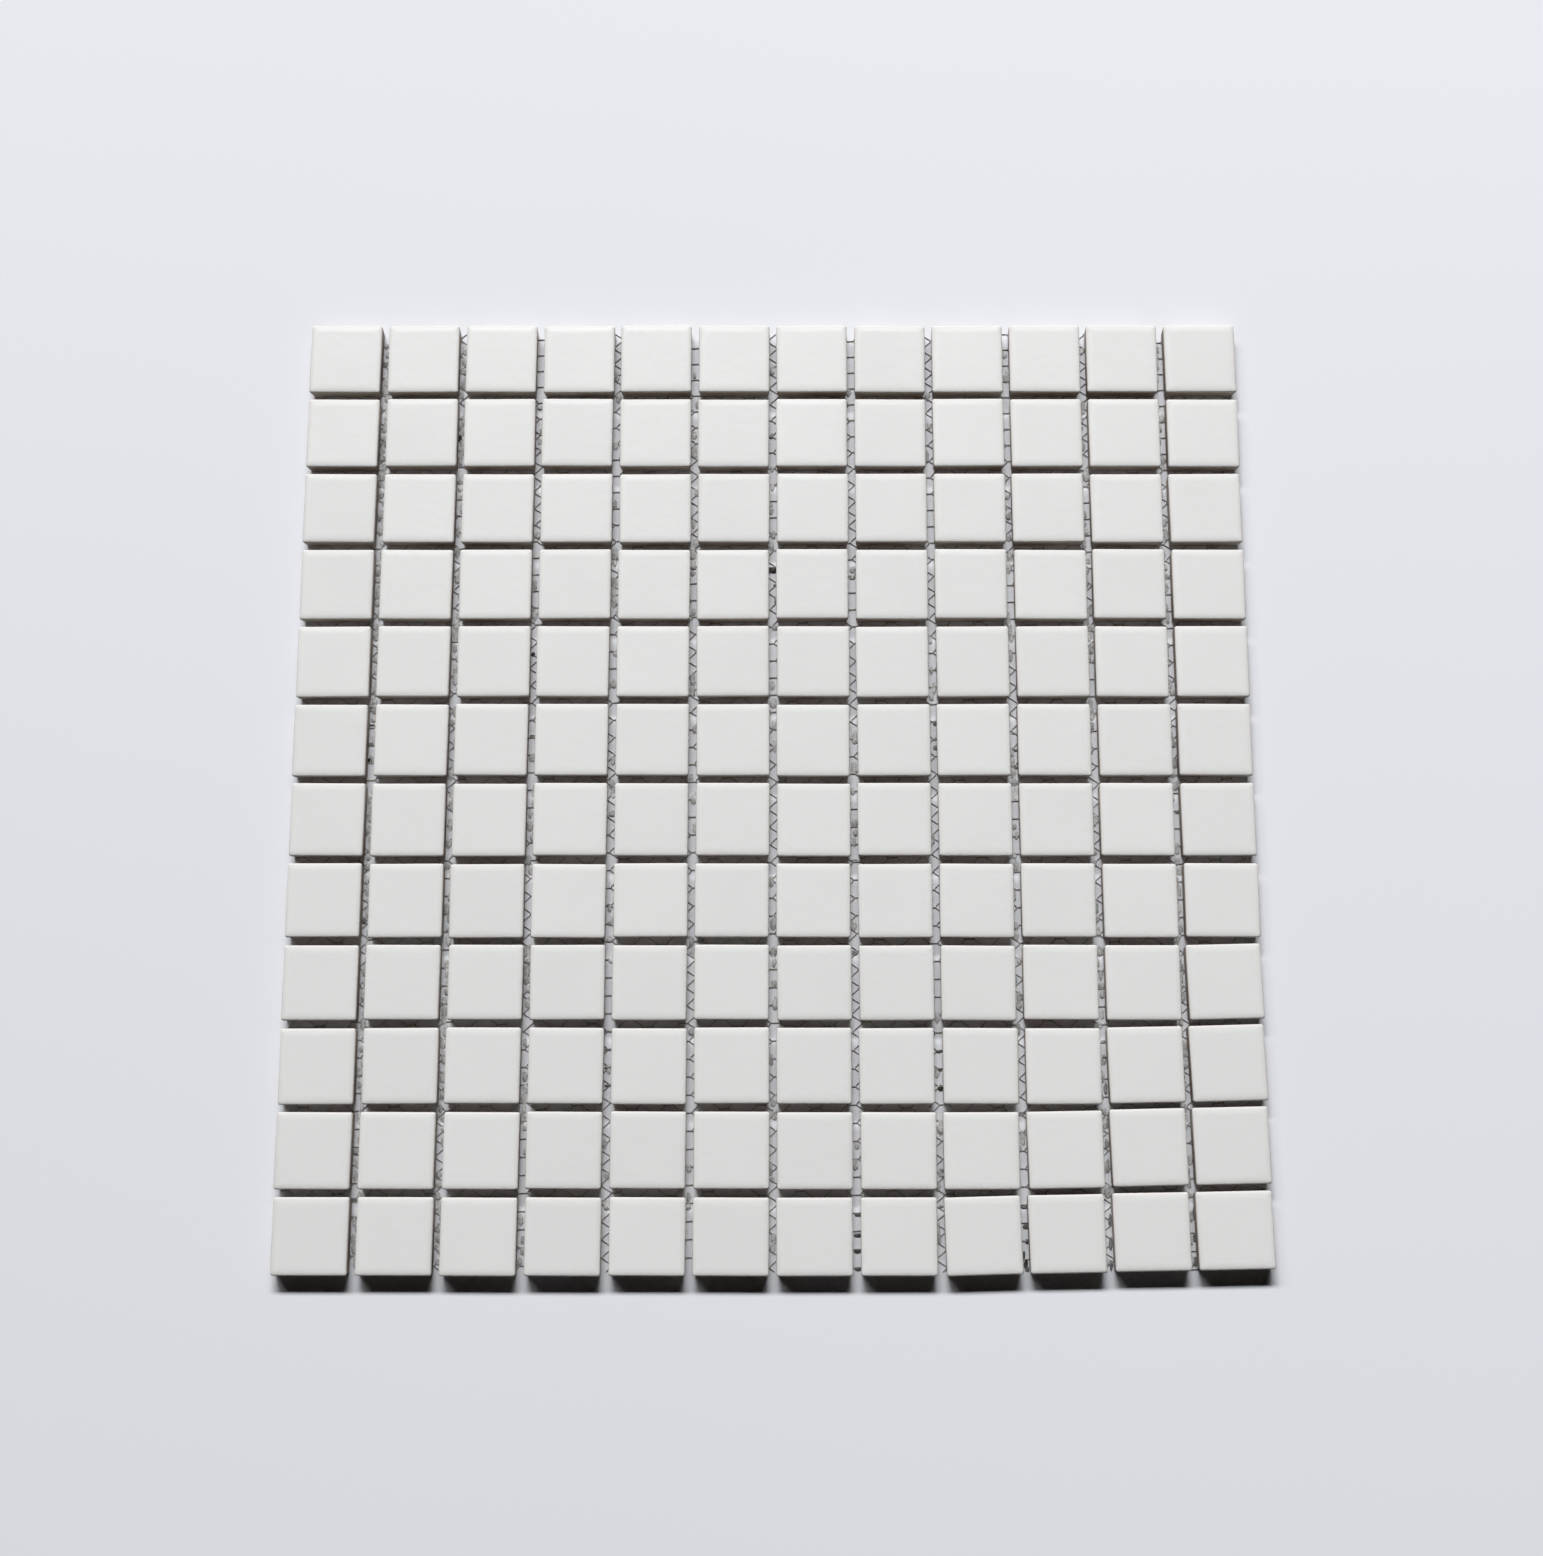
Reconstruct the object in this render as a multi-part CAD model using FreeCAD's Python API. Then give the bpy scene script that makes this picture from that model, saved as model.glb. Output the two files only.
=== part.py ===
import FreeCAD, Part
import math
import os

# Mosaic tile sheet: small square porcelain tiles on a thin backing net, in millimetres.
# +X runs along a row of tiles, +Y runs up the sheet and +Z points out of the glazed faces.
# The origin is the centre of the sheet's underside, on the surface that the net lies on.

# Layout of the sheet
tiles_per_row = 12
rows_per_sheet = 12
tile_size = 23.0
joint_width = 2.0

# Section of one tile
tile_thickness = 5.0
side_draft = 0.3
corner_cut = 0.6
arris_width = 0.45
arris_drop = 0.6
roll_width = 1.3
roll_drop = 0.12

# Keyed back of one tile: shallow grooves with leaning flanks, between flat lands
key_count = 2
key_width = 4.0
key_depth = 0.4
key_flank = 0.4

# Backing net: flat threads in two layers, the warp below and the weft on it
thread_width = 0.6
thread_thickness = 0.2
warp_pitch = 5.55
weft_pitch = 5.5
net_margin = 1.0

# Sizes that follow from the ones above
tile_pitch = tile_size + joint_width
sheet_width = tiles_per_row * tile_pitch - joint_width
sheet_length = rows_per_sheet * tile_pitch - joint_width
weft_base = thread_thickness
tile_base = weft_base + thread_thickness


def octagon(side, height):
    """Corners of a square section with its four corners cut off, anticlockwise from above."""
    outer = side / 2
    inner = outer - corner_cut
    corners = [
        (outer, -inner), (outer, inner), (inner, outer), (-inner, outer),
        (-outer, inner), (-outer, -inner), (-inner, -outer), (inner, -outer),
    ]
    return [FreeCAD.Vector(x, y, height) for x, y in corners]


def flat_face(points):
    """Flat face with the given corners."""
    return Part.Face(Part.makePolygon(points + points[:1]))


def solid_through(sections):
    """Closed solid with flat sides through sections of equal corner count, lowest first."""
    faces = [flat_face(sections[0][::-1]), flat_face(sections[-1])]
    for lower, upper in zip(sections, sections[1:]):
        for i in range(len(lower)):
            j = (i + 1) % len(lower)
            faces.append(flat_face([lower[i], lower[j], upper[j], upper[i]]))
    return Part.Solid(Part.Shell(faces))


def tile_blank():
    """Pressed tile: drafted sides, a tight arris and then a gentle roll up to the flat face."""
    back_side = tile_size - 2 * side_draft
    roll_side = tile_size - 2 * arris_width
    face_side = roll_side - 2 * roll_width
    roll_base = tile_thickness - roll_drop
    arris_base = roll_base - arris_drop
    return solid_through([
        octagon(back_side, 0),
        octagon(tile_size, arris_base),
        octagon(roll_side, roll_base),
        octagon(face_side, tile_thickness),
    ])


def key_groove(centre):
    """Cutter for one groove that runs right across the back, parallel to Y."""
    mouth = key_width / 2
    floor = mouth - key_flank
    reach = tile_size / 2
    section = [
        FreeCAD.Vector(centre - mouth, -reach, 0),
        FreeCAD.Vector(centre - floor, -reach, key_depth),
        FreeCAD.Vector(centre + floor, -reach, key_depth),
        FreeCAD.Vector(centre + mouth, -reach, 0),
    ]
    return flat_face(section).extrude(FreeCAD.Vector(0, 2 * reach, 0))


def make_tile():
    """One tile, centred on the Z axis with its back at height zero."""
    back_side = tile_size - 2 * side_draft
    land_width = (back_side - key_count * key_width) / (key_count + 1)
    key_step = key_width + land_width
    first_key = -key_step * (key_count - 1) / 2
    tile = tile_blank()
    for key in range(key_count):
        tile = tile.cut(key_groove(first_key + key * key_step))
    return tile


def make_tile_row(tile, row):
    """Copies of the tile side by side, seated on the net, as one row of the sheet."""
    first_x = -(sheet_width - tile_size) / 2
    first_y = -(sheet_length - tile_size) / 2
    copies = []
    for column in range(tiles_per_row):
        copy = tile.copy()
        copy.translate(FreeCAD.Vector(first_x + column * tile_pitch, first_y + row * tile_pitch, tile_base))
        copies.append(copy)
    return Part.makeCompound(copies)


def thread_places(span, pitch):
    """Centres of the threads that fit side by side within a span, evenly about its middle."""
    gaps = math.floor((span - thread_width) / pitch)
    return [(i - gaps / 2) * pitch for i in range(gaps + 1)]


def make_warp_strands():
    """Threads that run up the sheet, on the surface below."""
    net_width = sheet_width - 2 * net_margin
    net_length = sheet_length - 2 * net_margin
    strands = []
    for x in thread_places(net_width, warp_pitch):
        corner = FreeCAD.Vector(x - thread_width / 2, -net_length / 2, 0)
        strands.append(Part.makeBox(thread_width, net_length, thread_thickness, corner))
    return Part.makeCompound(strands)


def make_weft_strands():
    """Threads that run across the sheet, between the warp and the backs of the tiles."""
    net_width = sheet_width - 2 * net_margin
    net_length = sheet_length - 2 * net_margin
    strands = []
    for y in thread_places(net_length, weft_pitch):
        corner = FreeCAD.Vector(-net_width / 2, y - thread_width / 2, weft_base)
        strands.append(Part.makeBox(net_width, thread_width, thread_thickness, corner))
    return Part.makeCompound(strands)


os.makedirs("parts", exist_ok=True)

tile = make_tile()
for row in range(rows_per_sheet):
    make_tile_row(tile, row).exportStep(f"parts/tile_row_{row + 1:02d}.step")

make_warp_strands().exportStep("parts/net_warp_strands.step")
make_weft_strands().exportStep("parts/net_weft_strands.step")
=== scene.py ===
import math
import random

import bmesh
import bpy
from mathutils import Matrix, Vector


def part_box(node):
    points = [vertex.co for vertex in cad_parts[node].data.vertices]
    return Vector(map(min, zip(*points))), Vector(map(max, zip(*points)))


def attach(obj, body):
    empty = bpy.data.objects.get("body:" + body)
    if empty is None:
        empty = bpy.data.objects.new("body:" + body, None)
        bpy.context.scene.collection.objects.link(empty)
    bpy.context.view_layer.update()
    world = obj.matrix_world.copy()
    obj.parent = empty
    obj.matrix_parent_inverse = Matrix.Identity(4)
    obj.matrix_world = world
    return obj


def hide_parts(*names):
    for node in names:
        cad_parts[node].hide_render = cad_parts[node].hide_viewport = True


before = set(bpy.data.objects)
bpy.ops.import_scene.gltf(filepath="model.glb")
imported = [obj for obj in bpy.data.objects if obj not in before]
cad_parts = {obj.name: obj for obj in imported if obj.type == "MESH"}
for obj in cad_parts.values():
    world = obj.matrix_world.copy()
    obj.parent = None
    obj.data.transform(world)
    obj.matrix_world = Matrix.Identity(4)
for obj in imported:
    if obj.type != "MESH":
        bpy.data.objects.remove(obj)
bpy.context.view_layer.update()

bl_info = {
    "name": "Mosaic Tile Sheet",
    "version": (1, 0, 0),
    "blender": (4, 5, 0),
    "location": "3D View > Sidebar > Mosaic",
    "description": "Glazed porcelain tiles on a knitted backing net",
    "category": "Object",
}

MM = 0.001

# The sheet's layout, read from the rows of the frame
TILE_ROWS = sorted(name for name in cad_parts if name.startswith("tile_row_"))
ROW_BOXES = {name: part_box(name) for name in TILE_ROWS}
FIRST_LOW, FIRST_HIGH = ROW_BOXES[TILE_ROWS[0]]
TILE_SIDE = FIRST_HIGH.y - FIRST_LOW.y
TILE_PITCH = ROW_BOXES[TILE_ROWS[1]][0].y - FIRST_LOW.y
TILE_COLUMNS = round((FIRST_HIGH.x - FIRST_LOW.x + TILE_PITCH - TILE_SIDE) / TILE_PITCH)
TILE_BASE = FIRST_LOW.z
TILE_HEIGHT = FIRST_HIGH.z - FIRST_LOW.z
SHEET_HALF = FIRST_HIGH.x
NET_LOW, NET_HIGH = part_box("net_weft_strands")
NET_HALF = NET_HIGH.x

# Tiles stay this far inside the sheet's outline
EDGE_CLEARANCE = 0.01 * MM

# Share by which the tiles and the floor are painted paler for each metre to the right: painted light that
# evens out the falloff of the lamps, which hang to the left
PAINTED_PALENESS_RIGHT = 0.11

# The net is knitted this many times its finished size, then pulled askew and trimmed
SPARE_NET = 1.14

# How the net has been pulled askew, at rows of tiles counted from the nearest: the wales to the right
# in wale pitches, and the courses up the sheet in course pitches
WALE_DRIFT = ((1, 3.05), (2, 3.0), (3, 2.7), (6, 2.05), (7, 1.9), (10, 0.5), (11, 0.1), (12, 0.0))
COURSE_DRIFT = ((1, 0.56), (2, 0.4), (3, 0.2), (6, 0.18), (8, 0.28), (10, 0.2), (12, 0.02))

# Dark blots on the net in each upright joint, counted from the left: the offset to the right of the
# joint's middle, the height on the sheet, the width and the length in millimetres, and the darkness.
# Most are blots of glue; the long narrow ones along the right wall of joints 10 and 11 are painted
# shade of that wall.
GLUE_AND_SHADE_BLOTS = {
    1: ((-0.6, 137.5, 2.2, 1.8, 0.6), (-0.6, 110.5, 2.2, 2.2, 0.6), (-0.6, 105.5, 2.2, 1.8, 0.5),
        (-1.0, 97.0, 1.1, 2.2, 0.4), (-1.0, 86.0, 1.1, 3.0, 0.4), (-1.0, 23.8, 1.5, 0.6, 0.6),
        (-0.8, 18.2, 1.9, 0.6, 0.7), (-0.8, 12.2, 1.9, 0.6, 0.7), (-0.8, 7.0, 1.9, 1.7, 1.0),
        (-0.8, -43.2, 1.5, 2.0, 0.6), (-0.6, -127.2, 2.2, 1.3, 0.75), (-0.6, -132.3, 2.2, 0.9, 0.7)),
    2: ((-0.5, 112.4, 1.9, 2.5, 1.0), (-0.6, 116.2, 1.3, 2.4, 0.35), (-0.2, 98.0, 1.9, 1.1, 0.4)),
    3: ((-0.2, 122.8, 1.9, 1.3, 0.35), (-0.7, 41.0, 1.2, 1.3, 0.9), (-0.4, 20.0, 1.7, 0.7, 0.5),
        (-0.4, 14.8, 1.9, 0.6, 0.7)),
    4: ((-0.1, 72.5, 2.3, 1.4, 0.35), (0.4, -2.5, 1.7, 1.1, 0.45), (-0.6, -38.5, 1.4, 1.1, 0.8),
        (-0.1, -44.0, 1.9, 1.3, 0.6), (-0.2, -77.0, 2.2, 0.6, 0.6), (-0.2, -82.5, 2.1, 0.6, 0.6),
        (-0.2, -88.0, 2.2, 0.7, 0.7), (-0.2, -93.3, 2.2, 0.7, 0.7)),
    5: ((-0.3, 69.3, 1.7, 1.1, 0.5),),
    6: ((-0.5, 113.3, 1.4, 1.7, 0.55), (0.1, 68.5, 3.1, 2.3, 1.0), (0.65, 63.5, 1.1, 0.9, 0.7),
        (0.8, 58.5, 0.9, 1.7, 0.6), (0.1, -53.0, 2.2, 1.5, 0.5)),
    7: ((0.2, 66.0, 1.7, 1.4, 0.35), (0.2, -24.6, 2.2, 0.9, 0.5), (0.2, -53.0, 2.2, 1.5, 0.55),
        (0.5, -131.5, 1.9, 0.9, 0.85), (0.4, -137.5, 2.1, 1.3, 0.9), (0.3, -142.0, 2.3, 1.4, 0.85),
        (0.4, -147.2, 2.1, 1.2, 0.85)),
    8: ((0.8, 18.7, 1.4, 1.3, 0.7), (0.8, 13.8, 1.0, 1.0, 0.5), (0.8, 11.0, 1.1, 1.7, 0.6),
        (0.5, -83.0, 2.1, 0.9, 0.8), (0.5, -88.5, 2.1, 1.0, 0.8), (0.8, -94.0, 1.5, 1.8, 0.95),
        (0.7, -107.0, 1.3, 1.1, 0.4), (0.7, -118.5, 1.6, 1.4, 0.6), (0.4, -129.0, 1.7, 0.9, 0.5)),
    9: ((0.4, 15.7, 1.6, 0.7, 0.4), (0.4, 10.2, 2.1, 0.8, 0.8), (0.5, 4.5, 1.9, 0.6, 0.6),
        (0.5, -101.5, 2.0, 0.9, 0.6), (0.5, -107.2, 1.9, 0.8, 0.5), (0.5, -129.2, 2.2, 1.0, 0.8),
        (0.7, -135.0, 1.6, 1.5, 0.85), (1.0, -139.2, 1.1, 1.5, 0.8), (0.0, -143.2, 0.9, 2.6, 0.85),
        (0.5, -145.8, 1.2, 2.6, 0.9), (0.9, -147.4, 1.1, 1.4, 0.8)),
    10: ((0.8, -80.0, 1.6, 0.9, 0.5), (0.8, -85.0, 1.6, 1.3, 0.8), (0.9, -94.0, 1.1, 3.6, 0.5),
         (0.9, -104.5, 1.2, 3.6, 0.55), (0.8, -110.5, 1.4, 3.4, 0.5), (0.9, -117.0, 1.2, 4.4, 0.5),
         (1.0, -133.0, 1.0, 3.6, 0.7), (1.0, -140.0, 1.0, 4.2, 0.65), (1.0, -146.0, 1.0, 3.4, 0.75)),
    11: ((1.1, 105.0, 1.0, 1.6, 0.5), (0.8, -9.5, 1.7, 0.7, 0.7), (1.2, -131.0, 1.0, 3.2, 0.7),
         (1.2, -138.0, 1.0, 3.2, 0.7), (1.2, -145.0, 1.0, 3.2, 0.7)),
}

# Chance of a thin film at each place along each upright joint, counted from the left: a film of glue,
# and in the outer joints also painted shade, which darkens the ground where the walls shade it
FILM_AND_SHADE_COVER = (0.95, 0.75, 0.4, 0.2, 0.25, 0.35, 0.2, 0.15, 0.3, 0.55, 0.75)

# Ranges of a film's offset to the right, width and length and of the step to the next place, all in
# millimetres, and of its darkness
FILM_OFFSET = (-0.7, 0.7)
FILM_WIDTH = (1.2, 2.0)
FILM_LENGTH = (2.0, 4.5)
FILM_STEP = (2.5, 4.0)
FILM_DARKNESS = (0.1, 0.35)

# Films keep this many millimetres from the net's near and far ends
FILM_MARGIN = 3


class Channel:
    """A socket of a material's node tree, with arithmetic that adds Math nodes."""

    def __init__(self, paint, socket):
        self.paint = paint
        self.socket = socket

    def __add__(self, other):
        return self.paint.maths("ADD", self, other)

    def __radd__(self, other):
        return self.paint.maths("ADD", other, self)

    def __sub__(self, other):
        return self.paint.maths("SUBTRACT", self, other)

    def __rsub__(self, other):
        return self.paint.maths("SUBTRACT", other, self)

    def __mul__(self, other):
        return self.paint.maths("MULTIPLY", self, other)

    def __rmul__(self, other):
        return self.paint.maths("MULTIPLY", other, self)


class Paint:
    """Builds the node tree of a material or a world."""

    def __init__(self, owner):
        owner.use_nodes = True
        self.owner = owner
        self.tree = owner.node_tree

    def feed(self, socket, value):
        """Links a channel to a socket, or sets the socket to a plain value."""
        if isinstance(value, Channel):
            self.tree.links.new(value.socket, socket)
        else:
            socket.default_value = value

    def add(self, kind, settings=None, inputs=None, output=0):
        """Adds a node, with its settings first and then its inputs, and gives one output."""
        node = self.tree.nodes.new(kind)
        for name, value in (settings or {}).items():
            if name == "stops":
                self.set_stops(node.color_ramp, value)
            elif name == "interpolation":
                node.color_ramp.interpolation = value
            else:
                setattr(node, name, value)
        for key, value in (inputs or {}).items():
            self.feed(node.inputs[key], value)
        return Channel(self, node.outputs[output])

    @staticmethod
    def set_stops(ramp, stops):
        """Gives a colour ramp its stops of place and colour."""
        while len(ramp.elements) < len(stops):
            ramp.elements.new(1.0)
        for element, (place, colour) in zip(ramp.elements, stops):
            element.position = place
            element.color = colour

    def maths(self, operation, left, right):
        return self.add("ShaderNodeMath", {"operation": operation}, {0: left, 1: right})

    def object_point(self):
        return self.add("ShaderNodeTexCoord", output="Object")

    def noise(self, scale, detail, roughness, point):
        inputs = {"Scale": scale, "Detail": detail, "Roughness": roughness, "Vector": point}
        return self.add("ShaderNodeTexNoise", inputs=inputs)

    def attribute(self, name):
        return self.add("ShaderNodeAttribute", {"attribute_name": name}, output="Fac")

    def ramp(self, value, stops, interpolation="LINEAR"):
        """Grey level that goes through the given stops of place and level."""
        greys = [(place, (level, level, level, 1)) for place, level in stops]
        settings = {"stops": greys, "interpolation": interpolation}
        return self.add("ShaderNodeValToRGB", settings, {"Fac": value})

    def rise(self, value, low, high, interpolation="LINEAR"):
        """0 up to the low value, rising to 1 at the high value."""
        return self.ramp(value, [(low, 0.0), (high, 1.0)], interpolation)

    def blend(self, factor, first, second):
        """Mix of two colours."""
        # The node's colour sockets come after those for numbers and vectors, which have the same names
        inputs = {0: factor, 6: first, 7: second}
        return self.add("ShaderNodeMix", {"data_type": "RGBA"}, inputs, output=2)

    def scaled(self, tint, shade):
        """A colour or colour channel multiplied by a shade."""
        return self.add("ShaderNodeVectorMath", {"operation": "SCALE"}, {"Vector": tint, "Scale": shade})

    def bump(self, relief):
        """Normal from a relief in metres."""
        inputs = {"Strength": 1.0, "Distance": 1.0, "Height": relief}
        return self.add("ShaderNodeBump", inputs=inputs)

    def shows_backdrop(self):
        """1 for what the camera sees, also in a mirror or through glass, and 0 for what only lights."""
        camera = self.add("ShaderNodeLightPath", output="Is Camera Ray")
        glossy = self.add("ShaderNodeLightPath", output="Is Glossy Ray")
        transmission = self.add("ShaderNodeLightPath", output="Is Transmission Ray")
        mirrored = self.maths("MAXIMUM", glossy, transmission)
        return self.maths("MAXIMUM", camera, mirrored)

    def finish(self, **sockets):
        """Feeds the material's shader and gives the material."""
        shader = self.tree.nodes["Principled BSDF"]
        for name, value in sockets.items():
            self.feed(shader.inputs[name.replace("_", " ")], value)
        return self.owner


def colour(rgb):
    """Linear colour with full alpha from a property's three numbers."""
    return (rgb[0], rgb[1], rgb[2], 1.0)


def deselect_all():
    """Leaves edit mode and selects nothing."""
    if bpy.context.object and bpy.context.object.mode != "OBJECT":
        bpy.ops.object.mode_set(mode="OBJECT")
    bpy.ops.object.select_all(action="DESELECT")


def take(piece):
    """Makes one piece the selected and active one."""
    deselect_all()
    piece.select_set(True)
    bpy.context.view_layer.objects.active = piece


def edit(piece):
    """Opens one piece in edit mode."""
    take(piece)
    bpy.ops.object.mode_set(mode="EDIT")
    bpy.ops.mesh.select_mode(type="VERT")


def pick_faces(piece, wanted):
    """Selects the faces whose middle and normal pass a test."""
    bpy.ops.mesh.select_mode(type="FACE")
    bpy.ops.mesh.select_all(action="DESELECT")
    mesh = bmesh.from_edit_mesh(piece.data)
    for face in mesh.faces:
        face.select_set(wanted(face.calc_center_median(), face.normal))
    bmesh.update_edit_mesh(piece.data)


def pick_edges(piece, wanted):
    """Selects the edges whose two ends pass a test."""
    bpy.ops.mesh.select_mode(type="EDGE")
    bpy.ops.mesh.select_all(action="DESELECT")
    mesh = bmesh.from_edit_mesh(piece.data)
    for edge in mesh.edges:
        edge.select_set(wanted(edge.verts[0].co, edge.verts[1].co))
    bmesh.update_edit_mesh(piece.data)


def apply_modifier(piece, kind, **settings):
    """Adds one modifier to a piece and applies it."""
    take(piece)
    modifier = piece.modifiers.new(kind.title(), kind)
    for name, value in settings.items():
        setattr(modifier, name, value)
    bpy.ops.object.modifier_apply(modifier=modifier.name)


def apply_place():
    """Applies the place, turn and size of what is selected to its mesh."""
    bpy.ops.object.transform_apply(location=True, rotation=True, scale=True)


def copy_of(piece):
    """A copy with its own mesh."""
    copy = piece.copy()
    copy.data = piece.data.copy()
    bpy.context.collection.objects.link(copy)
    return copy


def mark(piece, name, value):
    """Stores one number on all of a piece's points, for its material to read."""
    attribute = piece.data.attributes.new(name, "FLOAT", "POINT")
    attribute.data.foreach_set("value", [value] * len(piece.data.vertices))


def join(pieces, name):
    """Joins pieces into one with their places applied."""
    deselect_all()
    for piece in pieces:
        piece.select_set(True)
    bpy.context.view_layer.objects.active = pieces[0]
    apply_place()
    if len(pieces) > 1:
        bpy.ops.object.join()
    joined = bpy.context.object
    joined.name = name
    joined.data.name = name
    return joined


def settle(piece, material, slot, *nodes):
    """Gives a finished piece its material and its place in the frame."""
    piece.data.materials.clear()
    piece.data.materials.append(material)
    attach(piece, "root")
    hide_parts(*nodes)


class TileSettings(bpy.types.PropertyGroup):
    """Sizes and colours of the tiles and how they lie"""
    arris_radius: bpy.props.FloatProperty(
        name="Arris Radius", description="Radius of the eased edge round the face",
        default=0.6 * MM, unit="LENGTH")
    roll_width: bpy.props.FloatProperty(
        name="Roll Width", description="Width of the gentle fall from the flat face to the arris",
        default=1.9 * MM, unit="LENGTH")
    roll_angle: bpy.props.FloatProperty(
        name="Roll Angle", description="Slope where the gentle fall meets the arris",
        default=math.radians(8.5), unit="ROTATION")
    corner_radius: bpy.props.FloatProperty(
        name="Corner Radius", description="Radius of the upright corners",
        default=0.7 * MM, unit="LENGTH")
    shrinkage: bpy.props.FloatProperty(
        name="Shrinkage", description="How much narrower the fired tile is than its nominal size",
        default=0.25 * MM, unit="LENGTH")
    side_draft: bpy.props.FloatProperty(
        name="Side Draft", description="How far each side leans in towards the back",
        default=0.3 * MM, unit="LENGTH")
    key_width: bpy.props.FloatProperty(
        name="Key Width", description="Width of a groove across the back",
        default=4 * MM, unit="LENGTH")
    key_depth: bpy.props.FloatProperty(
        name="Key Depth", description="Depth of a groove across the back",
        default=0.4 * MM, unit="LENGTH")
    key_flank: bpy.props.FloatProperty(
        name="Key Flank", description="How far a groove's flank leans in towards its floor",
        default=0.4 * MM, unit="LENGTH")
    slack: bpy.props.FloatProperty(
        name="Slack", description="Height left free above the face, so that a tile can tilt",
        default=0.04 * MM, unit="LENGTH")
    wander: bpy.props.FloatProperty(
        name="Wander", description="How far a tile may lie from its place in the grid",
        default=0.16 * MM, unit="LENGTH")
    twist: bpy.props.FloatProperty(
        name="Twist", description="How far a tile may be turned in its place",
        default=math.radians(0.35), unit="ROTATION")
    tilt: bpy.props.FloatProperty(
        name="Tilt", description="How far a face may lean from level",
        default=math.radians(0.08), unit="ROTATION")
    corner_lift: bpy.props.FloatProperty(
        name="Corner Lift", description="How far the near right corner of the sheet has crept up the sheet",
        default=1.9 * MM, unit="LENGTH")
    lift_reach: bpy.props.FloatProperty(
        name="Lift Reach", description="Distance from the corner tile over which the creep dies away",
        default=87 * MM, unit="LENGTH")
    tone_range: bpy.props.FloatProperty(
        name="Tone Range", description="Share by which a tile may be paler or darker than the others",
        default=0.012)
    glaze: bpy.props.FloatVectorProperty(
        name="Glaze", description="Colour of the white semi-matt glaze",
        default=(0.748, 0.75, 0.741), subtype="COLOR", size=3)
    thin_glaze: bpy.props.FloatVectorProperty(
        name="Thin Glaze", description="Colour where the glaze has drawn thin over the eased edge",
        default=(0.65, 0.632, 0.61), subtype="COLOR", size=3)
    glaze_depth: bpy.props.FloatProperty(
        name="Glaze Depth", description="How far down the sides the glaze reaches from the face",
        default=0.75 * MM, unit="LENGTH")
    body: bpy.props.FloatVectorProperty(
        name="Fired Body", description="Colour of the bare sides and back",
        default=(0.38, 0.34, 0.3), subtype="COLOR", size=3)
    flashed_body: bpy.props.FloatVectorProperty(
        name="Flashed Body", description="Colour where the kiln has browned the bare sides",
        default=(0.235, 0.182, 0.145), subtype="COLOR", size=3)


class NetSettings(bpy.types.PropertyGroup):
    """Sizes and colours of the net and its glue, with painted shade in some blots and films and in the
    yarn's grey
    """
    course_pitch: bpy.props.FloatProperty(
        name="Course Pitch", description="Distance from one course of the net to the next",
        default=5.5 * MM, unit="LENGTH")
    wale_pitch: bpy.props.FloatProperty(
        name="Wale Pitch", description="Distance from one wale of the net to the next",
        default=25 / 4.5 * MM, unit="LENGTH")
    bar_length: bpy.props.FloatProperty(
        name="Bar Length", description="Length of the doubled thread between two zigzags",
        default=2.9 * MM, unit="LENGTH")
    thread: bpy.props.FloatProperty(
        name="Thread", description="Thickness of the doubled thread of a bar",
        default=0.27 * MM, unit="LENGTH")
    zigzag_thread: bpy.props.FloatProperty(
        name="Zigzag Thread", description="Thickness of the single thread of a zigzag",
        default=0.34 * MM, unit="LENGTH")
    course_slope: bpy.props.FloatProperty(
        name="Course Slope", description="How steeply the courses rise to the right",
        default=0.1045)
    bar_slope: bpy.props.FloatProperty(
        name="Bar Slope", description="How steeply a bar falls to the right of its course",
        default=0.053)
    # The yarn's grey is partly painted shade: the threads are darkened to stand in for their own shade and
    # shadow
    yarn: bpy.props.FloatVectorProperty(
        name="Yarn", description="Colour of the dipped threads",
        default=(0.42, 0.405, 0.385), subtype="COLOR", size=3)
    film: bpy.props.FloatVectorProperty(
        name="Film", description="Colour of glue where it is only a thin film",
        default=(0.57, 0.575, 0.57), subtype="COLOR", size=3)
    # Dark blot colour, for glue and for the blots that are painted shade
    glue: bpy.props.FloatVectorProperty(
        name="Glue", description="Colour of the dark glue blots",
        default=(0.022, 0.020, 0.019), subtype="COLOR", size=3)
    blot_height: bpy.props.FloatProperty(
        name="Glue Height", description="Height of a glue blot, under the backs of the tiles",
        default=0.26 * MM, unit="LENGTH")


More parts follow.
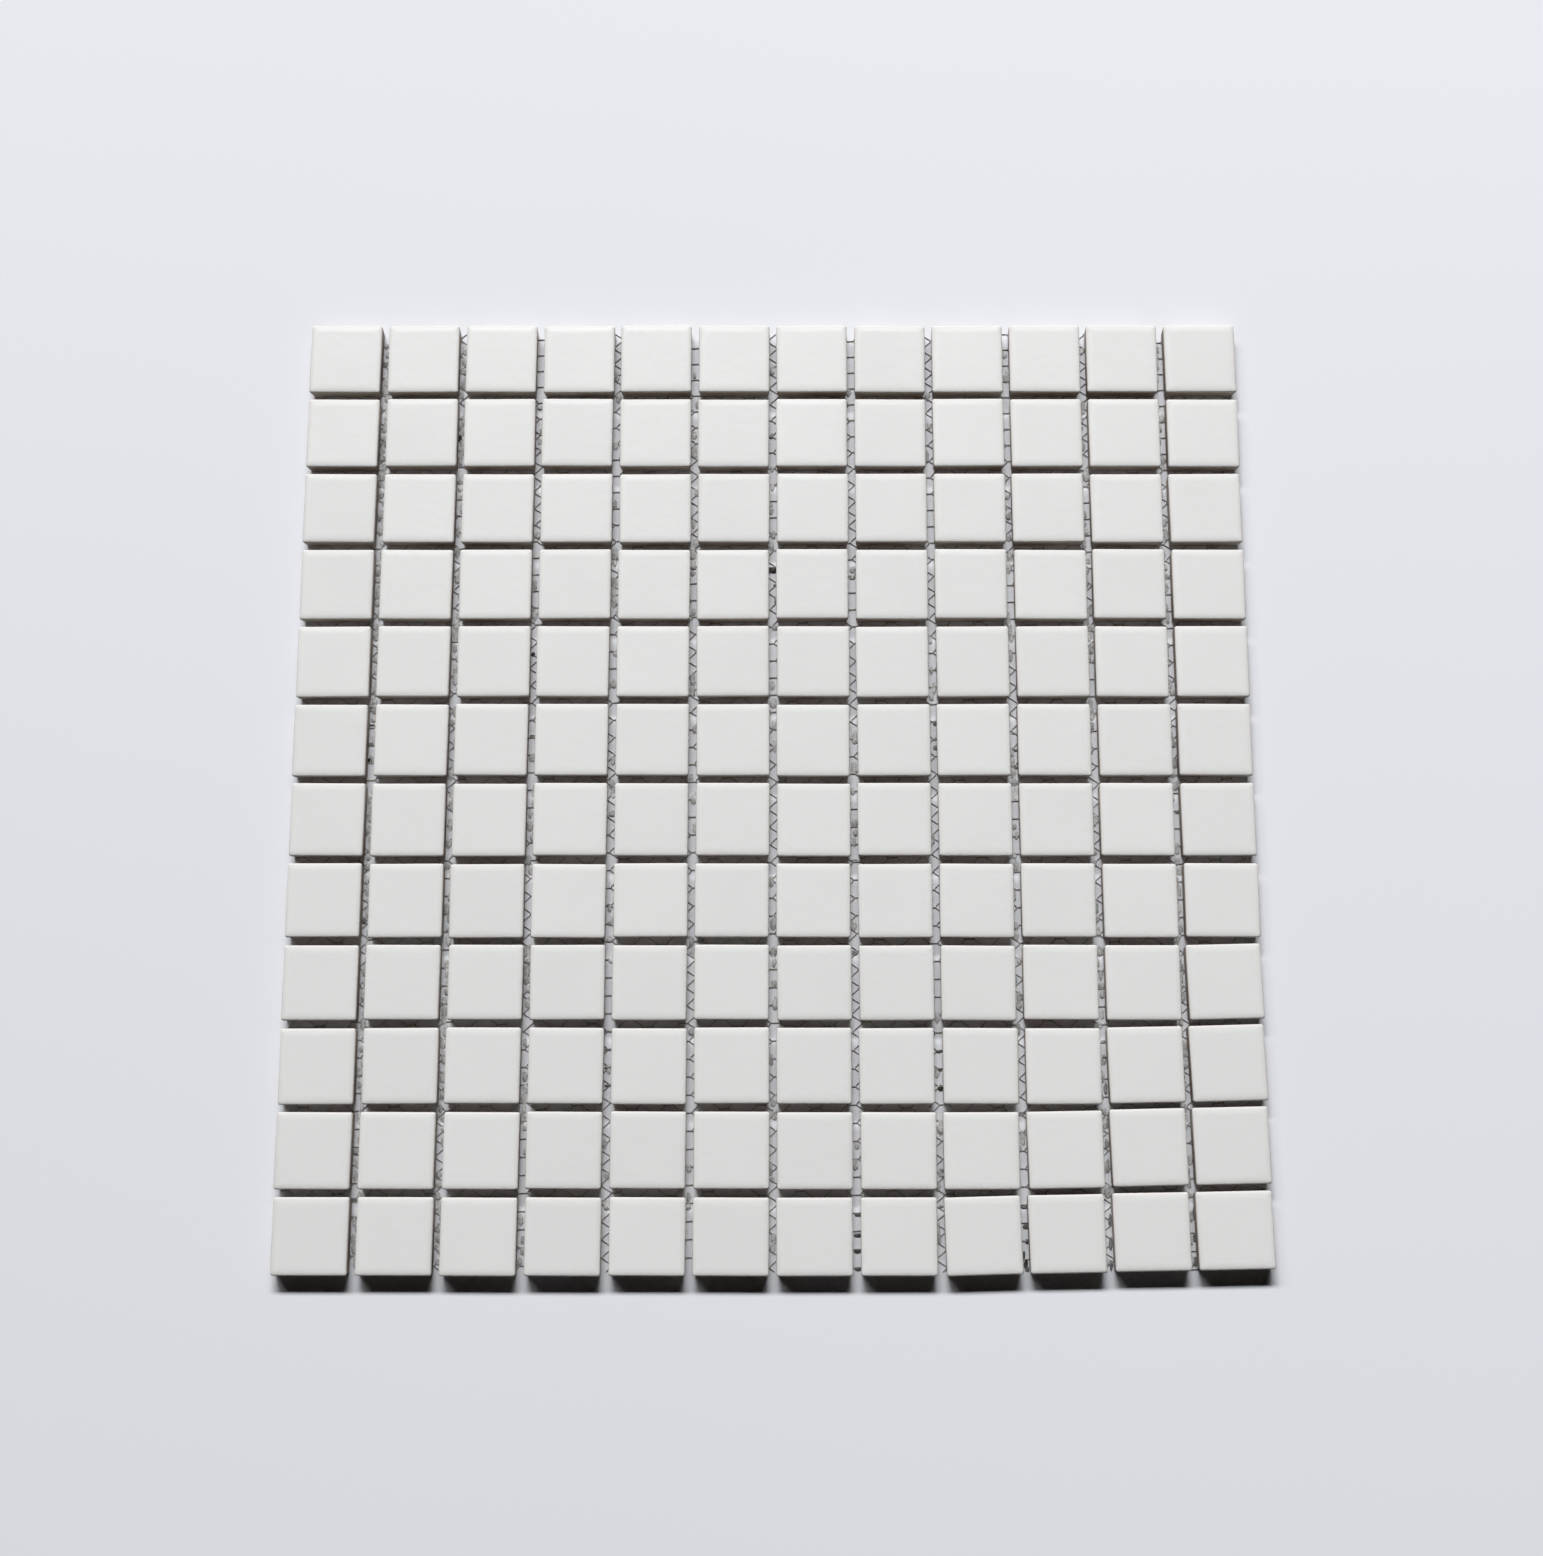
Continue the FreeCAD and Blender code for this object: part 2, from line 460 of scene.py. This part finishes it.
class StageSettings(bpy.types.PropertyGroup):
    """The floor, the lamps and the camera"""
    floor: bpy.props.FloatVectorProperty(
        name="Floor", description="Colour of the plain pale floor",
        default=(0.79, 0.804, 0.845), subtype="COLOR", size=3)
    fade_start: bpy.props.FloatProperty(
        name="Fade Start", description="How far from its middle the floor starts to fade into the backdrop",
        default=0.32, unit="LENGTH")
    fade_end: bpy.props.FloatProperty(
        name="Fade End", description="How far from its middle the floor is all backdrop",
        default=0.64, unit="LENGTH")
    lamp_power: bpy.props.FloatProperty(
        name="Lamp Power", description="Power of the lamp behind the sheet",
        default=256.0, unit="POWER")
    lamp_distance: bpy.props.FloatProperty(
        name="Lamp Distance", description="Distance from the middle of the sheet to both lamps",
        default=5.6, unit="LENGTH")
    lamp_height: bpy.props.FloatProperty(
        name="Lamp Height", description="Angle of both lamps above the floor",
        default=math.radians(42.1), unit="ROTATION")
    lamp_length: bpy.props.FloatProperty(
        name="Lamp Length", description="Length of the lamp, level and along the rows of tiles",
        default=2.6, unit="LENGTH")
    lamp_shift: bpy.props.FloatProperty(
        name="Lamp Shift", description="How far the middle of the lamp lies to the right",
        default=-0.5, unit="LENGTH")
    lamp_depth: bpy.props.FloatProperty(
        name="Lamp Depth", description="Upright size of both lamps",
        default=0.64, unit="LENGTH")
    glow_power: bpy.props.FloatProperty(
        name="Glow Power", description="Power of the longer lamp, which softens the shadows at the sides",
        default=232.0, unit="POWER")
    glow_length: bpy.props.FloatProperty(
        name="Glow Length", description="Length of the longer lamp, in line with the other",
        default=5.7, unit="LENGTH")
    glow_shift: bpy.props.FloatProperty(
        name="Glow Shift", description="How far the middle of the longer lamp lies to the right",
        default=-1.1, unit="LENGTH")
    fill: bpy.props.FloatProperty(
        name="Fill", description="Strength of the light that comes from all round",
        default=0.001)
    lens: bpy.props.FloatProperty(
        name="Lens", description="Focal length of the camera",
        default=41.7, unit="CAMERA")
    camera_height: bpy.props.FloatProperty(
        name="Camera Height", description="Height of the camera above the floor",
        default=555 * MM, unit="LENGTH")
    camera_back: bpy.props.FloatProperty(
        name="Camera Back", description="How far the camera stands towards the viewer from the middle",
        default=92.8 * MM, unit="LENGTH")
    camera_aside: bpy.props.FloatProperty(
        name="Camera Aside", description="How far the camera stands to the right of the middle",
        default=-0.45 * MM, unit="LENGTH")
    camera_tilt: bpy.props.FloatProperty(
        name="Camera Tilt", description="How far the camera looks up the sheet from straight down",
        default=math.radians(9.63), unit="ROTATION")


def glazed_porcelain(settings):
    """White semi-matt glaze over the face, thin on the arris, and bare fired body below it."""
    paint = Paint(bpy.data.materials.new("Glazed Porcelain"))
    point = paint.object_point()

    # Depth below the face in millimetres, and where the glaze ends in an uneven line
    height = paint.add("ShaderNodeSeparateXYZ", inputs={"Vector": point}, output="Z")
    below = (TILE_BASE + TILE_HEIGHT - settings.slack - height) * (1 / MM)
    run = paint.noise(scale=180, detail=3, roughness=0.6, point=point) - 0.5
    glazed = paint.rise((settings.glaze_depth / MM - below + run * 0.6) * 1.2 + 0.5, 0.0, 1.0)
    thin = paint.ramp(below + run * 0.1, [(0.03, 0.0), (0.1, 0.4), (0.32, 1.0)])

    # Glaze with a faint cloudiness, each tile a little paler or darker at random, and painted paler towards
    # the right as painted light that evens out the lamps' falloff
    cloud = paint.noise(scale=55, detail=3, roughness=0.55, point=point)
    shade = (cloud - 0.5) * 0.03 + paint.attribute("tile_tone") + 1.0
    coat = paint.blend(thin, colour(settings.glaze), colour(settings.thin_glaze))

    # Grainy bare body, browned in patches
    grain = paint.noise(scale=2600, detail=3, roughness=0.6, point=point)
    flashed = paint.rise(paint.noise(scale=45, detail=3, roughness=0.65, point=point), 0.40, 0.62)
    bare = paint.blend(flashed, colour(settings.body), colour(settings.flashed_body))

    base = paint.blend(glazed, paint.scaled(bare, grain * 0.3 + 0.85), paint.scaled(coat, shade))
    dimple = paint.noise(scale=420, detail=2, roughness=0.5, point=point)
    relief = glazed * dimple * (0.04 * MM) + (1 - glazed) * grain * (0.06 * MM)
    dull = paint.rise(below, 0.02, 0.12)
    rough = 0.78 - glazed * (0.40 - (cloud - 0.5) * 0.1 - dull * 0.27)
    return paint.finish(Base_Color=base, Roughness=rough, Normal=paint.bump(relief))


def net_yarn(settings):
    """Dull grey thread with a fibrous surface, its grey partly painted shade, and blots and films on it:
    glue, and in places painted shade.
    """
    paint = Paint(bpy.data.materials.new("Net Yarn"))
    point = paint.object_point()

    # Blots go from a thin film to dark ones, which are thicker in patches: glue, and in places painted
    # shade
    darkness = paint.attribute("glued")
    glued = paint.rise(darkness, 0.0, 0.05)
    patch = paint.noise(scale=300, detail=3, roughness=0.6, point=point)
    dark = paint.rise(darkness + patch * 0.5 - 0.25, 0.15, 0.95)
    dabbed_and_shaded = paint.blend(dark, colour(settings.film), colour(settings.glue))

    # Fibres and specks over both
    fibre = paint.noise(scale=5200, detail=2, roughness=0.6, point=point)
    speck = paint.rise(paint.noise(scale=1100, detail=2, roughness=0.6, point=point), 0.38, 0.62)
    shade = speck * 0.45 + fibre * 0.3 + 0.62

    # Painted shade: the yarn's grey stands in partly for the threads' own shadow
    base = paint.scaled(paint.blend(glued, colour(settings.yarn), dabbed_and_shaded), shade)
    relief = (1 - glued) * fibre * (0.05 * MM)
    rough = 0.75 - glued * 0.25
    return paint.finish(Base_Color=base, Roughness=rough, Normal=paint.bump(relief), Specular_IOR_Level=0.2)


def tile_profile(settings):
    """Insets and heights of the edge's sections, from above the widest one to the flat face."""
    radius = settings.arris_radius
    turn = math.pi / 2 - settings.roll_angle
    arris_steps = 4
    roll_steps = 3
    steps = []
    for i in range(1, arris_steps + 1):
        angle = turn * i / arris_steps
        steps.append((radius * (1 - math.cos(angle)), radius * math.sin(angle)))
    arris_inset, arris_rise = steps[-1]
    roll_radius = settings.roll_width / math.sin(settings.roll_angle)
    whole_fall = roll_radius * (1 - math.cos(settings.roll_angle))
    for i in range(1, roll_steps + 1):
        slope = settings.roll_angle * (1 - i / roll_steps)
        inset = arris_inset + settings.roll_width - roll_radius * math.sin(slope)
        fall = roll_radius * (1 - math.cos(slope))
        steps.append((inset, arris_rise + whole_fall - fall))
    return steps


def model_tile(settings):
    """One tile about the origin, with its back at height zero."""
    deselect_all()
    steps = tile_profile(settings)
    side = TILE_SIDE - settings.shrinkage
    edge_height = steps[-1][1]
    base_height = TILE_HEIGHT - settings.slack - edge_height
    flat_rim = 0.3 * MM
    bpy.ops.mesh.primitive_cube_add(size=1, location=(0, 0, base_height / 2),
                                    scale=(side, side, base_height))
    tile = bpy.context.object
    apply_place()
    edit(tile)
    pick_faces(tile, lambda middle, normal: normal.z < -0.5)
    lean = 1 - 2 * settings.side_draft / side
    bpy.ops.transform.resize(value=(lean, lean, 1), center_override=(0, 0, 0))
    pick_edges(tile, lambda a, b: abs(a.z - b.z) > base_height / 2)
    bpy.ops.mesh.bevel(offset=settings.corner_radius, offset_type="OFFSET", segments=3)
    pick_faces(tile, lambda middle, normal: normal.z > 0.5)
    inset, rise = 0.0, 0.0
    for next_inset, next_rise in steps:
        bpy.ops.mesh.extrude_region_move(TRANSFORM_OT_translate={"value": (0, 0, next_rise - rise)})
        shrink = (side - 2 * next_inset) / (side - 2 * inset)
        bpy.ops.transform.resize(value=(shrink, shrink, 1), center_override=(0, 0, 0))
        inset, rise = next_inset, next_rise
    bpy.ops.mesh.inset(thickness=flat_rim, depth=0)
    bpy.ops.object.mode_set(mode="OBJECT")
    return tile


def cut_keys(tile, settings):
    """Cuts two shallow grooves with leaning flanks across the back of a tile."""
    back_side = TILE_SIDE - settings.shrinkage - 2 * settings.side_draft
    width, depth = settings.key_width, settings.key_depth
    through = TILE_SIDE * 1.2
    land = (back_side - 2 * width) / 3
    slim = 1 - 2 * settings.key_flank / width
    for side in (-1, 1):
        x = side * (width + land) / 2
        deselect_all()
        bpy.ops.mesh.primitive_cube_add(size=1, location=(x, 0, 0), scale=(width, through, 2 * depth))
        cutter = bpy.context.object
        apply_place()
        edit(cutter)
        pick_faces(cutter, lambda middle, normal: normal.z > 0.5)
        bpy.ops.transform.resize(value=(slim, 1, 1), center_override=(x, 0, depth))
        bpy.ops.object.mode_set(mode="OBJECT")
        apply_modifier(tile, "BOOLEAN", operation="DIFFERENCE", object=cutter, solver="EXACT")
        bpy.data.objects.remove(cutter)


def laid_place(column, row, settings, chance):
    """Where one tile lies and how far it is turned, kept within the sheet's outline."""
    x = (column - (TILE_COLUMNS - 1) / 2) * TILE_PITCH
    y = (row - (len(TILE_ROWS) - 1) / 2) * TILE_PITCH
    from_corner = (TILE_COLUMNS - 1 - column + row) * TILE_PITCH
    creep = max(0.0, 1 - from_corner / settings.lift_reach)
    turn = chance.uniform(-1, 1) * settings.twist
    if creep > 0:
        turn += math.atan(settings.corner_lift / settings.lift_reach)
    x += chance.uniform(-1, 1) * settings.wander
    y += chance.uniform(-1, 1) * settings.wander + settings.corner_lift * creep
    reach = (TILE_SIDE - settings.shrinkage) / 2 * (math.cos(turn) + abs(math.sin(turn)))
    limit = SHEET_HALF - reach - EDGE_CLEARANCE
    return max(-limit, min(limit, x)), max(-limit, min(limit, y)), turn


def lay_row(tile, name, row, settings, chance):
    """Copies of the tile laid side by side and joined as one row."""
    copies = []
    for column in range(TILE_COLUMNS):
        copy = copy_of(tile)
        x, y, turn = laid_place(column, row, settings, chance)
        copy.location = (x, y, TILE_BASE)
        copy.rotation_euler = (chance.uniform(-1, 1) * settings.tilt,
                               chance.uniform(-1, 1) * settings.tilt, turn)
        tone = chance.uniform(-settings.tone_range, settings.tone_range)
        # The tone the glaze reads: a random share, plus painted light that makes the tiles paler towards
        # the right
        mark(copy, "tile_tone", tone + x * PAINTED_PALENESS_RIGHT)
        copies.append(copy)
    return join(copies, name)


class MOSAIC_OT_lay_tiles(bpy.types.Operator):
    """Model one glazed tile and lay its copies in rows"""
    bl_idname = "mosaic.lay_tiles"
    bl_label = "Lay Tiles"

    def execute(self, context):
        settings = context.scene.mosaic_tiles
        chance = random.Random(12)
        tile = model_tile(settings)
        cut_keys(tile, settings)
        take(tile)
        bpy.ops.object.shade_smooth_by_angle(angle=math.radians(35))
        material = glazed_porcelain(settings)
        for row, node in enumerate(TILE_ROWS):
            piece = lay_row(tile, node.replace("tile_row", "porcelain_row"), row, settings, chance)
            settle(piece, material, "glazed_porcelain", node)
        bpy.data.objects.remove(tile)
        return {"FINISHED"}


def net_zigzag(settings):
    """One repeat of a thread that swings from side to side between two wales."""
    swing = (settings.wale_pitch - settings.bar_length) / 2
    # Shares of the repeat, and of the swing to the right there
    places = [(0.0, -1.0), (0.08, -0.9), (0.42, 0.9), (0.5, 1.0), (0.58, 0.9), (0.92, -0.9), (1.0, -1.0)]
    deselect_all()
    bpy.ops.mesh.primitive_circle_add(vertices=5, radius=settings.zigzag_thread / 2, fill_type="NOTHING",
                                      location=(-swing, 0, 0), rotation=(math.pi / 2, 0, 0))
    thread = bpy.context.object
    apply_place()
    edit(thread)
    bpy.ops.mesh.select_all(action="SELECT")
    for (t0, x0), (t1, x1) in zip(places, places[1:]):
        move = ((x1 - x0) * swing, (t1 - t0) * settings.course_pitch, 0)
        bpy.ops.mesh.extrude_region_move(TRANSFORM_OT_translate={"value": move})
    bpy.ops.object.mode_set(mode="OBJECT")
    return thread


def net_bar(settings):
    """The doubled thread of one course, from one zigzag to the next, with splayed ends."""
    half = settings.bar_length / 2
    fall = settings.bar_slope * half
    # Places as shares of half the bar, and widths as shares of the thread's thickness
    sections = [(-1.1, 1.0), (-0.75, 1.35), (0.75, 1.35), (1.1, 1.0)]
    place, width = sections[0]
    deselect_all()
    bpy.ops.mesh.primitive_circle_add(vertices=6, radius=settings.thread / 2, fill_type="NGON",
                                      location=(place * half, -place * fall, 0),
                                      rotation=(0, math.pi / 2, 0))
    bar = bpy.context.object
    apply_place()
    edit(bar)
    bpy.ops.mesh.select_all(action="SELECT")
    bpy.ops.transform.resize(value=(1, width, 1), center_override=(0, -place * fall, 0))
    for next_place, next_width in sections[1:]:
        step = next_place - place
        growth = next_width / width
        bpy.ops.mesh.extrude_region_move(TRANSFORM_OT_translate={"value": (step * half, -step * fall, 0)})
        bpy.ops.transform.resize(value=(1, growth, 1), center_override=(0, -next_place * fall, 0))
        place, width = next_place, next_width
    bpy.ops.object.mode_set(mode="OBJECT")
    return bar


def repeat(piece, count, step, **merging):
    """Sets out copies of a piece one step apart."""
    apply_modifier(piece, "ARRAY", count=count, use_relative_offset=False, use_constant_offset=True,
                   constant_offset_displace=step, **merging)


def along_rows(values, y):
    """Value at a height on the sheet, from those given at rows of tiles counted from the nearest."""
    place = y / TILE_PITCH + (len(TILE_ROWS) + 1) / 2
    first = 0
    while first < len(values) - 2 and values[first + 1][0] < place:
        first += 1
    (row, value), (next_row, next_value) = values[first:first + 2]
    return value + (place - row) / (next_row - row) * (next_value - value)


def pull_askew(piece, settings):
    """Pulls a part of the net out of square with a lattice, as the net lies in the photo."""
    deselect_all()
    bpy.ops.object.add(type="LATTICE", location=(0, 0, 0))
    lattice = bpy.context.object
    # Points half a tile pitch apart up the sheet and a whole one past it
    points_up = 2 * len(TILE_ROWS) + 5
    lattice.data.points_u = 2
    lattice.data.points_v = points_up
    lattice.data.points_w = 1
    lattice.data.interpolation_type_u = "KEY_LINEAR"
    lattice.data.interpolation_type_v = "KEY_LINEAR"
    width, height = 3 * SHEET_HALF, (points_up - 1) * TILE_PITCH / 2
    lattice.scale = (width, height, 1)
    for point in lattice.data.points:
        x, y = point.co.x * width, point.co.y * height
        raised = y + settings.course_slope * x
        drift = along_rows(WALE_DRIFT, raised) * settings.wale_pitch
        rise = along_rows(COURSE_DRIFT, raised) * settings.course_pitch
        point.co_deform = ((x + drift) / width, (raised + rise) / height, point.co.z)
    apply_modifier(piece, "LATTICE", object=lattice)
    bpy.data.objects.remove(lattice)


def trim_net(piece):
    """Cuts a part of the net off square at the net's outline and closes the cut ends."""
    for axis in ((1, 0, 0), (-1, 0, 0), (0, 1, 0), (0, -1, 0)):
        edit(piece)
        bpy.ops.mesh.select_all(action="SELECT")
        edge = [NET_HALF * part for part in axis]
        bpy.ops.mesh.bisect(plane_co=edge, plane_no=axis, use_fill=True, clear_outer=True, threshold=1e-7)
        bpy.ops.object.mode_set(mode="OBJECT")


def spread(piece, settings, offset, is_continuous):
    """Repeats a part of the net, every other wale half a course higher, and fits it to the sheet."""
    knitted = 2 * NET_HALF * SPARE_NET
    courses = math.ceil(knitted / settings.course_pitch / 2) * 2
    wales = math.ceil(knitted / settings.wale_pitch / 4) * 4
    course = (0, settings.course_pitch, 0)
    if is_continuous:
        repeat(piece, courses, course, use_merge_vertices=True, merge_threshold=0.02 * MM)
        edit(piece)
        bpy.ops.mesh.select_all(action="SELECT")
        bpy.ops.mesh.fill_holes(sides=0)
        bpy.ops.mesh.normals_make_consistent(inside=False)
        bpy.ops.object.mode_set(mode="OBJECT")
    else:
        repeat(piece, courses, course)
    repeat(piece, 2, (settings.wale_pitch, settings.course_pitch / 2, 0))
    repeat(piece, wales // 2, (2 * settings.wale_pitch, 0, 0))
    take(piece)
    left = -wales / 2 * settings.wale_pitch
    low = -courses / 2 * settings.course_pitch
    piece.location = (left + offset, low, NET_LOW.z)
    apply_place()
    pull_askew(piece, settings)
    trim_net(piece)


def model_blot(seed):
    """One lumpy blot about one millimetre each way, used for glue and for painted shade."""
    lump = 0.13 * MM
    deselect_all()
    bpy.ops.mesh.primitive_uv_sphere_add(segments=8, ring_count=5, radius=0.5 * MM, location=(0, 0, 0))
    blot = bpy.context.object
    edit(blot)
    bpy.ops.mesh.select_all(action="SELECT")
    bpy.ops.transform.vertex_random(offset=lump, uniform=1.0, seed=seed)
    bpy.ops.object.mode_set(mode="OBJECT")
    return blot


def thin_films(cover, chance):
    """Thin films scattered along one upright joint, in the same form as the blots: glue film, and in the
    outer joints also painted shade.
    """
    films = []
    reach = NET_HALF / MM - FILM_MARGIN
    y = -reach
    while y < reach:
        if chance.random() < cover:
            films.append((chance.uniform(*FILM_OFFSET), y, chance.uniform(*FILM_WIDTH),
                          chance.uniform(*FILM_LENGTH), chance.uniform(*FILM_DARKNESS)))
        y += chance.uniform(*FILM_STEP)
    return films


def dab_glue_and_shade(settings):
    """Blots and films at their places in the upright joints, joined as one piece: glue, and in places
    painted shade.
    """
    shapes = [model_blot(seed) for seed in range(4)]
    chance = random.Random(5)
    copies = []
    for joint, blots in GLUE_AND_SHADE_BLOTS.items():
        middle = (joint - TILE_COLUMNS / 2) * TILE_PITCH
        films = thin_films(FILM_AND_SHADE_COVER[joint - 1], chance)
        for across, y, width, length, darkness in list(blots) + films:
            copy = copy_of(shapes[len(copies) % len(shapes)])
            copy.location = (middle + across * MM, y * MM, NET_LOW.z)
            copy.scale = (width, length, settings.blot_height / MM)
            mark(copy, "glued", darkness)
            copies.append(copy)
    for shape in shapes:
        bpy.data.objects.remove(shape)
    # The piece named glue holds all blots and films, the painted shade among them
    return join(copies, "glue")


class MOSAIC_OT_knit_net(bpy.types.Operator):
    """Model the backing net's threads and bars, and the glue and painted shade on it"""
    bl_idname = "mosaic.knit_net"
    bl_label = "Knit Net"

    def execute(self, context):
        settings = context.scene.mosaic_net
        material = net_yarn(settings)
        zigzags = net_zigzag(settings)
        bars = net_bar(settings)
        spread(zigzags, settings, settings.wale_pitch, is_continuous=True)
        spread(bars, settings, settings.wale_pitch / 2, is_continuous=False)
        for parts, name, node in (([zigzags], "net_zigzags", "net_warp_strands"),
                                  ([bars, dab_glue_and_shade(settings)], "net_bars", "net_weft_strands")):
            piece = join(parts, name)
            take(piece)
            bpy.ops.object.shade_smooth_by_angle(angle=math.radians(60))
            settle(piece, material, "net_thread", node)
        return {"FINISHED"}


def pale_floor(settings):
    """Plain matt floor, painted paler towards the right, that fades into the backdrop well away from the
    sheet.
    """
    paler_reach = 0.4
    paint = Paint(bpy.data.materials.new("Pale Floor"))
    point = paint.object_point()
    across = paint.add("ShaderNodeSeparateXYZ", inputs={"Vector": point}, output="X")
    limits = {"Value": across, "Min": -paler_reach, "Max": paler_reach}
    aside = paint.add("ShaderNodeClamp", inputs=limits)
    cloud = paint.noise(scale=3, detail=2, roughness=0.5, point=point)
    # Painted light: the floor is made paler towards the right to even out the lamps' falloff
    base = paint.scaled(settings.floor[:], cloud * 0.02 + 0.99 + aside * PAINTED_PALENESS_RIGHT)
    paint.finish(Base_Color=base, Roughness=1.0, Specular_IOR_Level=0.0)

    away = paint.add("ShaderNodeVectorMath", {"operation": "LENGTH"}, {"Vector": point}, output="Value")
    far = paint.rise(away, settings.fade_start, settings.fade_end, "EASE")
    lit = Channel(paint, paint.tree.nodes["Principled BSDF"].outputs[0])
    even_tone = paint.add("ShaderNodeEmission", inputs={"Color": colour(settings.floor), "Strength": 1.0})
    fading = {"Fac": far * paint.shows_backdrop(), 1: lit, 2: even_tone}
    surface = paint.tree.nodes["Material Output"].inputs["Surface"]
    paint.feed(surface, paint.add("ShaderNodeMixShader", inputs=fading))
    return paint.owner


def lay_floor(settings):
    """Floor under the sheet, out to well past the backdrop's start."""
    deselect_all()
    bpy.ops.mesh.primitive_plane_add(size=6, location=(0, 0, 0))
    floor = bpy.context.object
    floor.name = "floor"
    floor.data.materials.append(pale_floor(settings))


def hang_lamp(name, settings, power, length, shift):
    """Long level lamp behind the sheet, turned to face it."""
    data = bpy.data.lights.new(name, "AREA")
    data.shape = "RECTANGLE"
    data.size = length
    data.size_y = settings.lamp_depth
    data.energy = power
    lamp = bpy.data.objects.new(name, data)
    bpy.context.collection.objects.link(lamp)
    lamp.rotation_euler = (math.pi / 2 - settings.lamp_height, 0, math.pi)
    lamp.location = lamp.rotation_euler.to_matrix() @ Vector((-shift, 0, settings.lamp_distance))


def light_room(settings):
    """World that gives a little light from all round and shows the backdrop."""
    paint = Paint(bpy.data.worlds.new("pale_room"))
    bpy.context.scene.world = paint.owner
    light = paint.add("ShaderNodeBackground", inputs={"Color": (1, 1, 1, 1), "Strength": settings.fill})
    even_tone = paint.add("ShaderNodeBackground", inputs={"Color": colour(settings.floor), "Strength": 1.0})
    room = {"Fac": paint.shows_backdrop(), 1: light, 2: even_tone}
    surface = paint.tree.nodes["World Output"].inputs["Surface"]
    paint.feed(surface, paint.add("ShaderNodeMixShader", inputs=room))


def stand_camera(settings):
    """Camera at the photograph's viewing angle."""
    data = bpy.data.cameras.new("camera")
    data.lens = settings.lens
    data.sensor_width = 36
    data.clip_start = 0.01
    camera = bpy.data.objects.new("camera", data)
    bpy.context.collection.objects.link(camera)
    camera.location = (settings.camera_aside, -settings.camera_back, settings.camera_height)
    camera.rotation_euler = (settings.camera_tilt, 0, 0)
    bpy.context.scene.camera = camera


class MOSAIC_OT_set_stage(bpy.types.Operator):
    """Set the floor, the two lamps, the light all round and the camera"""
    bl_idname = "mosaic.set_stage"
    bl_label = "Set Stage"

    def execute(self, context):
        settings = context.scene.mosaic_stage
        lay_floor(settings)
        hang_lamp("lamp", settings, settings.lamp_power, settings.lamp_length, settings.lamp_shift)
        hang_lamp("glow", settings, settings.glow_power, settings.glow_length, settings.glow_shift)
        light_room(settings)
        stand_camera(settings)
        context.scene.view_settings.view_transform = "Standard"
        return {"FINISHED"}


class MOSAIC_PT_sheet(bpy.types.Panel):
    """Sizes, colours and steps of the mosaic sheet"""
    bl_label = "Mosaic Tile Sheet"
    bl_idname = "MOSAIC_PT_sheet"
    bl_space_type = "VIEW_3D"
    bl_region_type = "UI"
    bl_category = "Mosaic"

    def draw(self, context):
        scene = context.scene
        groups = ((scene.mosaic_stage, MOSAIC_OT_set_stage), (scene.mosaic_tiles, MOSAIC_OT_lay_tiles),
                  (scene.mosaic_net, MOSAIC_OT_knit_net))
        for settings, operator in groups:
            box = self.layout.box()
            for name in settings.bl_rna.properties.keys():
                if name not in ("rna_type", "name"):
                    box.prop(settings, name)
            box.operator(operator.bl_idname)


CLASSES = (TileSettings, NetSettings, StageSettings, MOSAIC_OT_lay_tiles, MOSAIC_OT_knit_net,
           MOSAIC_OT_set_stage, MOSAIC_PT_sheet)


def register():
    for item in CLASSES:
        bpy.utils.register_class(item)
    bpy.types.Scene.mosaic_tiles = bpy.props.PointerProperty(type=TileSettings)
    bpy.types.Scene.mosaic_net = bpy.props.PointerProperty(type=NetSettings)
    bpy.types.Scene.mosaic_stage = bpy.props.PointerProperty(type=StageSettings)


def unregister():
    del bpy.types.Scene.mosaic_stage
    del bpy.types.Scene.mosaic_net
    del bpy.types.Scene.mosaic_tiles
    for item in reversed(CLASSES):
        bpy.utils.unregister_class(item)


def main():
    register()
    bpy.ops.mosaic.set_stage()
    bpy.ops.mosaic.lay_tiles()
    bpy.ops.mosaic.knit_net()


if __name__ == "__main__":
    main()
